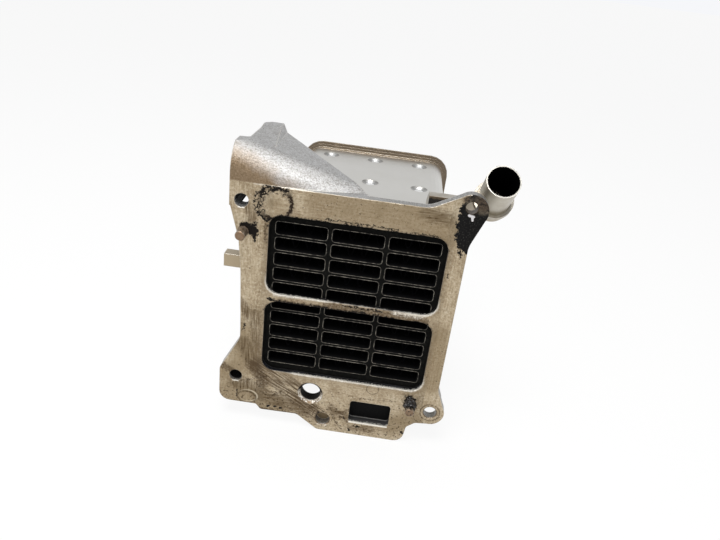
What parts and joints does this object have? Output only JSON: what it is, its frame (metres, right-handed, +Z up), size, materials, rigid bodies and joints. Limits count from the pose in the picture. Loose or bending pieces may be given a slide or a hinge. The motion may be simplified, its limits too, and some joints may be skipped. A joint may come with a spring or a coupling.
{
  "type": "egr cooler",
  "caption": "Exhaust gas recirculation cooler: cast frame with twin gas windows, a bank of flat finned tubes in a dimpled sheet can, and coolant ports.",
  "frame": {"origin": "on the gasket face, at the middle of the rib between the two gas windows", "axes": "-Y out of the gasket face, +Z up as in the picture, +X toward the coolant stub"},
  "size_m": [0.1691, 0.1715, 0.1917],
  "materials": {
    "casting": "die cast, stained brown on the face",
    "seal": "graphite gasket",
    "tube_sheet": "sooted stainless sheet",
    "tube_sheet_rear": "stainless sheet with a brazing tint",
    "can_sheet": "matt furnace-brazed stainless sheet",
    "cap_sheet": "deep-drawn stainless sheet with a brazing tint",
    "sealant": "cured black sealant",
    "box_sheet": "pressed stainless sheet",
    "collar": "turned stainless ring",
    "stub": "drawn stainless tube",
    "outlet_rubber": "moulded rubber ring",
    "dowel": "hardened steel, browned",
    "gas_tube": "sooted stainless strip, worn bright at the rim",
    "fin_strip": "sooted stainless strip"
  },
  "bodies": {
    "root": {"flange_casting": "casting", "header_seal": "seal", "front_header": "tube_sheet", "can_shell": "can_sheet", "rear_header": "tube_sheet_rear", "turning_cap": "cap_sheet", "core_sealant_bead": "sealant", "inlet_box": "box_sheet", "inlet_collar": "collar", "inlet_pipe": "stub", "outlet_seal": "outlet_rubber", "dowel_pin_upper": "dowel", "dowel_pin_lower": "dowel", "gas_tube_r01_c1": "gas_tube", "gas_tube_r01_c2": "gas_tube", "gas_tube_r01_c3": "gas_tube", "gas_tube_r02_c1": "gas_tube", "gas_tube_r02_c2": "gas_tube", "gas_tube_r02_c3": "gas_tube", "gas_tube_r03_c1": "gas_tube", "gas_tube_r03_c2": "gas_tube", "gas_tube_r03_c3": "gas_tube", "gas_tube_r04_c1": "gas_tube", "gas_tube_r04_c2": "gas_tube", "gas_tube_r04_c3": "gas_tube", "gas_tube_r05_c1": "gas_tube", "gas_tube_r05_c2": "gas_tube", "gas_tube_r05_c3": "gas_tube", "gas_tube_r06_c1": "gas_tube", "gas_tube_r06_c2": "gas_tube", "gas_tube_r06_c3": "gas_tube", "gas_tube_r07_c1": "gas_tube", "gas_tube_r07_c2": "gas_tube", "gas_tube_r07_c3": "gas_tube", "gas_tube_r08_c1": "gas_tube", "gas_tube_r08_c2": "gas_tube", "gas_tube_r08_c3": "gas_tube", "gas_tube_r09_c1": "gas_tube", "gas_tube_r09_c2": "gas_tube", "gas_tube_r09_c3": "gas_tube", "gas_tube_r10_c1": "gas_tube", "gas_tube_r10_c2": "gas_tube", "gas_tube_r10_c3": "gas_tube", "fins_row_01": "fin_strip", "fins_row_02": "fin_strip", "fins_row_03": "fin_strip", "fins_row_04": "fin_strip", "fins_row_05": "fin_strip", "fins_row_06": "fin_strip", "fins_row_07": "fin_strip", "fins_row_08": "fin_strip", "fins_row_09": "fin_strip", "fins_row_10": "fin_strip"}
  },
  "joints": []
}
